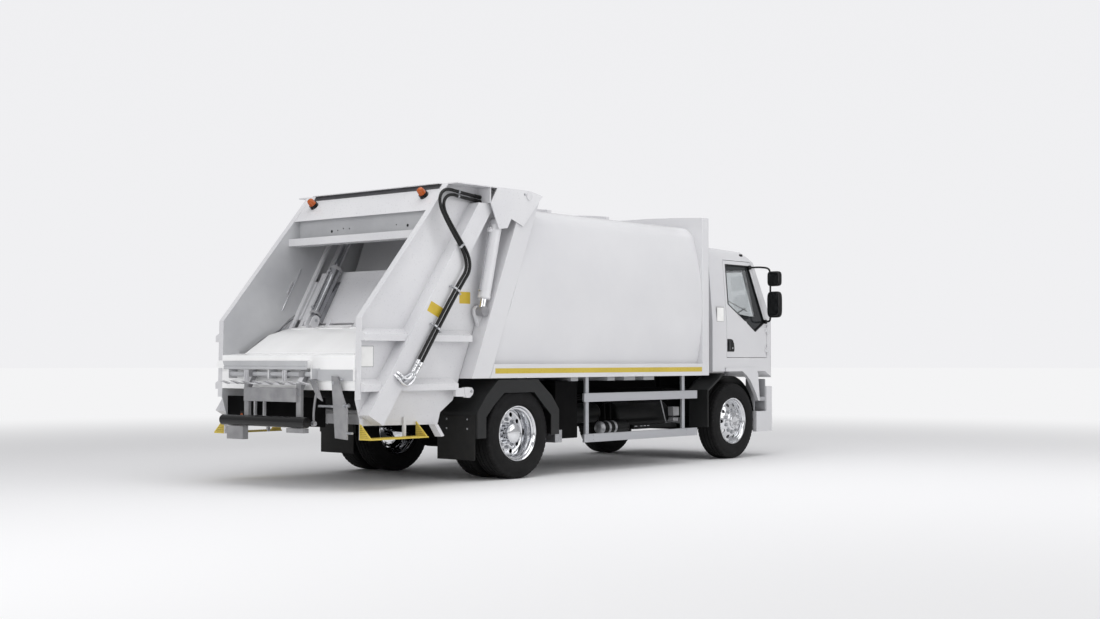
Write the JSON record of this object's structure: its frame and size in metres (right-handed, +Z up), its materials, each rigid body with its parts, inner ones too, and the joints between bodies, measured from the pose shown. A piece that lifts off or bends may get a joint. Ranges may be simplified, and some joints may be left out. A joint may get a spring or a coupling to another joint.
{
  "type": "rear-loading refuse truck",
  "caption": "Two-axle rear-loading refuse truck with tilting cab, bulged compaction body, lifting tailgate, packing blade and bin lifter.",
  "frame": {"origin": "centre of the bounding box on the ground plane", "axes": "+X forward, +Y to the truck's left, +Z up"},
  "size_m": [7.9103, 2.86, 3.13],
  "materials": {
    "body_paint": "gloss",
    "grey_paint": "satin",
    "chassis_black": "satin",
    "black_plastic": "matte",
    "rubber": "matte",
    "tyre_rubber": "matte",
    "rim_metal": "polished",
    "rod_chrome": "polished",
    "tank_metal": "satin",
    "step_yellow": "satin",
    "amber": "gloss",
    "red_lens": "gloss",
    "window_glass": "gloss",
    "cab_trim": "matte",
    "hose_rubber": "satin"
  },
  "bodies": {
    "chassis": {"air_tank": "tank_metal", "body_floor": "body_paint", "body_front_frame": "body_paint", "body_rear_frame": "body_paint", "body_roof": "body_paint", "body_side_left": "body_paint", "body_side_right": "body_paint", "bumper": "black_plastic", "chassis_frame": "chassis_black", "engine": "chassis_black", "front_axle": "chassis_black", "front_guards": "black_plastic", "fuel_tank": "chassis_black", "mud_flaps": "rubber", "rear_axle": "chassis_black", "rear_fender_left": "black_plastic", "rear_fender_right": "black_plastic", "side_guard_left": "grey_paint", "side_guard_right": "grey_paint", "silencer": "chassis_black", "springs": "chassis_black", "step_boxes": "body_paint", "subframe": "chassis_black", "tool_box": "chassis_black"},
    "knuckle_left": {"knuckle_left": "chassis_black"},
    "knuckle_right": {"knuckle_right": "chassis_black"},
    "wheel_front_left": {"tyre_front_left": "tyre_rubber", "rim_front_left": "rim_metal"},
    "wheel_front_right": {"tyre_front_right": "tyre_rubber", "rim_front_right": "rim_metal"},
    "wheel_rear_left": {"tyre_rear_left": "tyre_rubber", "rim_rear_left": "rim_metal"},
    "wheel_rear_right": {"tyre_rear_right": "tyre_rubber", "rim_rear_right": "rim_metal"},
    "tail": {"tail_side_left": "body_paint", "tail_side_right": "body_paint", "tail_hood": "body_paint", "hopper": "body_paint", "tail_beams": "grey_paint", "beacons": "amber", "rear_lamps": "red_lens", "rear_steps": "step_yellow", "pack_rods": "rod_chrome", "hose_inner": "hose_rubber", "hose_outer": "hose_rubber"},
    "carriage": {"carriage": "grey_paint"},
    "blade": {"blade": "body_paint"},
    "lift_barrels": {"lift_barrels": "body_paint"},
    "lift_rods": {"lift_rods": "rod_chrome"},
    "lifter": {"lifter_frame": "grey_paint", "buffer_roller": "rubber"},
    "cab": {"cab_shell": "body_paint", "windscreen": "window_glass", "cab_interior": "cab_trim"},
    "door_left": {"door_left": "body_paint", "door_glass_left": "window_glass", "mirror_left": "black_plastic"},
    "door_right": {"door_right": "body_paint", "door_glass_right": "window_glass", "mirror_right": "black_plastic"}
  },
  "joints": [
    {"name": "steer_left", "type": "hinge", "parent": "chassis", "child": "knuckle_left", "pos_m": [2.88, 0.87, 0.49], "axis": [0, 0, 1], "range_deg": [-35, 35]},
    {"name": "steer_right", "type": "hinge", "parent": "chassis", "child": "knuckle_right", "pos_m": [2.88, -0.87, 0.49], "axis": [0, 0, 1], "range_deg": [-35, 35]},
    {"name": "spin_front_left", "type": "hinge", "parent": "knuckle_left", "child": "wheel_front_left", "pos_m": [2.88, 0.9955, 0.49], "axis": [0, 1, 0], "continuous": true},
    {"name": "spin_front_right", "type": "hinge", "parent": "knuckle_right", "child": "wheel_front_right", "pos_m": [2.88, -0.9955, 0.49], "axis": [0, 1, 0], "continuous": true},
    {"name": "spin_rear_left", "type": "hinge", "parent": "chassis", "child": "wheel_rear_left", "pos_m": [-1.47, 0.9, 0.49], "axis": [0, 1, 0], "continuous": true},
    {"name": "spin_rear_right", "type": "hinge", "parent": "chassis", "child": "wheel_rear_right", "pos_m": [-1.47, -0.9, 0.49], "axis": [0, 1, 0], "continuous": true},
    {"name": "tail_lift", "type": "hinge", "parent": "chassis", "child": "tail", "pos_m": [-1.35, 0, 3.07], "axis": [0, 1, 0], "range_deg": [0, 60]},
    {"name": "lift_barrel_pivot", "type": "hinge", "parent": "tail", "child": "lift_barrels", "pos_m": [-1.78, 0, 2.76], "axis": [0, -1, 0], "range_deg": [0, 67.3]},
    {"name": "lift_rod_slide", "type": "slide", "parent": "lift_barrels", "child": "lift_rods", "axis": [-0.2378, 0, -0.9713], "range_m": [0, 0.5121]},
    {"name": "carriage_slide", "type": "slide", "parent": "tail", "child": "carriage", "axis": [0.5, 0, 0.866], "range_m": [0, 0.5]},
    {"name": "blade_swing", "type": "hinge", "parent": "carriage", "child": "blade", "pos_m": [-2.71, 0, 1.6], "axis": [0, -1, 0], "range_deg": [0, 85]},
    {"name": "bin_lift", "type": "hinge", "parent": "tail", "child": "lifter", "pos_m": [-3.77, 0.1325, 1.14], "axis": [0, 1, 0], "range_deg": [0, 100]},
    {"name": "cab_tilt", "type": "hinge", "parent": "chassis", "child": "cab", "pos_m": [3.815, 0, 0.985], "axis": [0, 1, 0], "range_deg": [0, 45]},
    {"name": "door_left_hinge", "type": "hinge", "parent": "cab", "child": "door_left", "pos_m": [3.728, 1.1143, 1.6], "axis": [0, 0, -1], "range_deg": [0, 70]},
    {"name": "door_right_hinge", "type": "hinge", "parent": "cab", "child": "door_right", "pos_m": [3.728, -1.1143, 1.6], "axis": [0, 0, 1], "range_deg": [0, 70]}
  ],
  "couplings": [
    {"joint": "steer_right", "follows": "steer_left", "ratio": 1},
    {"joint": "lift_barrel_pivot", "follows": "tail_lift", "ratio": 1.1133},
    {"joint": "lift_rod_slide", "follows": "tail_lift", "m_per_rad": 0.48709}
  ]
}
